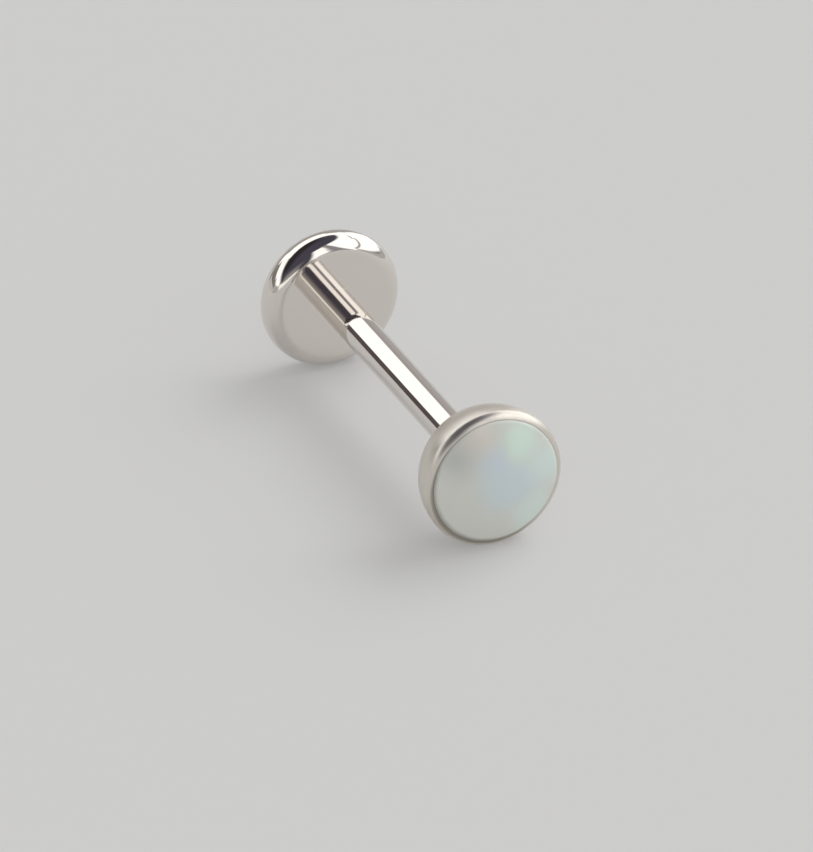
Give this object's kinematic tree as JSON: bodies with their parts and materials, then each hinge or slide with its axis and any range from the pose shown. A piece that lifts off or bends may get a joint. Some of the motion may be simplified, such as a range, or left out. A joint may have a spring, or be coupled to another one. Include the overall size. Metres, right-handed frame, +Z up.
{
  "type": "threadless stud",
  "caption": "Threadless labret stud lying on its side: a straight hollow post on a flat polished disc, and a round bezel-set opal cabochon whose pin presses into the post.",
  "frame": {"origin": "under the middle of the stud, on the surface that it lies on", "axes": "+Z up; the post runs along Y, with the opal facing -Y and the flat disc at +Y; X is across the stud"},
  "size_m": [0.004, 0.0122, 0.004],
  "materials": {
    "post_metal": "polished",
    "bezel_metal": "polished",
    "opal": "polished"
  },
  "bodies": {
    "root": {"flatback_post": "post_metal", "bezel_cup": "bezel_metal", "opal_cabochon": "opal"}
  },
  "joints": []
}
